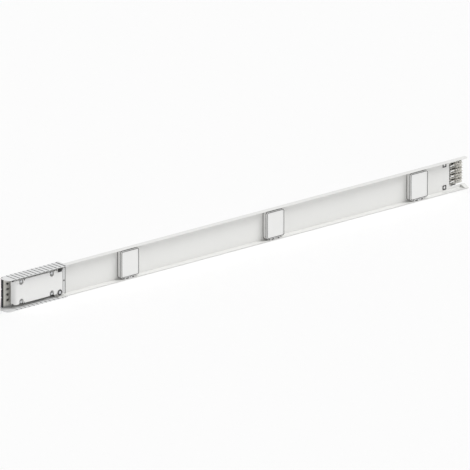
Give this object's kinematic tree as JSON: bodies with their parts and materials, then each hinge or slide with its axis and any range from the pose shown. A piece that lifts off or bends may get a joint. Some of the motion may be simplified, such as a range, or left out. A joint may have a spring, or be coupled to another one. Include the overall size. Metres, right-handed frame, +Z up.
{
  "type": "busway section",
  "caption": "Plug-in busway section: a steel channel with hinged tap-off outlets on its face, conductors behind it, a joint sleeve at one end and a blade end at the other.",
  "frame": {"origin": "middle of the footprint, at the foot of the joint sleeve", "axes": "+X along the run towards the open blade end, -Y out of the outlets' face, +Z up"},
  "size_m": [3.19, 0.083, 0.1712],
  "materials": {
    "painted_steel": "satin off-white powder coat",
    "sleeve_metal": "satin light grey powder coat",
    "conductor_metal": "plain drawn bar",
    "silvered_contact": "tinned copper",
    "zinc_steel": "zinc plated",
    "white_plastic": "fine moulded texture",
    "comb_insulator": "moulded glass-filled resin",
    "dark_insulator": "moulded glass-filled resin",
    "seal_rubber": "matte"
  },
  "bodies": {
    "section": {"casing": "painted_steel", "rear_cover": "painted_steel", "busbar_1": "conductor_metal", "busbar_2": "conductor_metal", "busbar_3": "conductor_metal", "busbar_4": "conductor_metal", "bar_support_1": "dark_insulator", "bar_support_2": "dark_insulator", "bar_support_3": "dark_insulator", "bar_support_4": "dark_insulator", "end_comb": "comb_insulator", "end_blade_1": "silvered_contact", "end_blade_2": "silvered_contact", "end_blade_3": "silvered_contact", "end_blade_4": "silvered_contact", "outlet_frame_1": "white_plastic", "outlet_frame_2": "white_plastic", "outlet_frame_3": "white_plastic", "outlet_socket_1": "dark_insulator", "outlet_socket_2": "dark_insulator", "outlet_socket_3": "dark_insulator", "hinge_pin_1": "zinc_steel", "hinge_pin_2": "zinc_steel", "hinge_pin_3": "zinc_steel", "joint_sleeve": "sleeve_metal", "joint_shroud": "white_plastic", "back_block": "comb_insulator", "contact_jaw_1": "silvered_contact", "contact_jaw_2": "silvered_contact", "contact_jaw_3": "silvered_contact", "contact_jaw_4": "silvered_contact", "jaw_carrier": "dark_insulator", "end_guide": "painted_steel", "end_seal": "seal_rubber", "clamp_block": "white_plastic", "end_post": "sleeve_metal", "lock_screw": "zinc_steel", "top_latch": "seal_rubber", "captive_screw_1": "zinc_steel", "captive_screw_2": "zinc_steel", "captive_screw_3": "zinc_steel", "captive_screw_4": "zinc_steel"},
    "cover_1": {"outlet_cover_1": "white_plastic"},
    "cover_2": {"outlet_cover_2": "white_plastic"},
    "cover_3": {"outlet_cover_3": "white_plastic"}
  },
  "joints": [
    {"name": "cover_hinge_1", "type": "hinge", "parent": "section", "child": "cover_1", "pos_m": [-0.748, -0.0212, 0.0073], "axis": [1, 0, 0], "range_deg": [0, 90]},
    {"name": "cover_hinge_2", "type": "hinge", "parent": "section", "child": "cover_2", "pos_m": [0.252, -0.0212, 0.0073], "axis": [1, 0, 0], "range_deg": [0, 90]},
    {"name": "cover_hinge_3", "type": "hinge", "parent": "section", "child": "cover_3", "pos_m": [1.252, -0.0212, 0.0073], "axis": [1, 0, 0], "range_deg": [0, 90]}
  ]
}
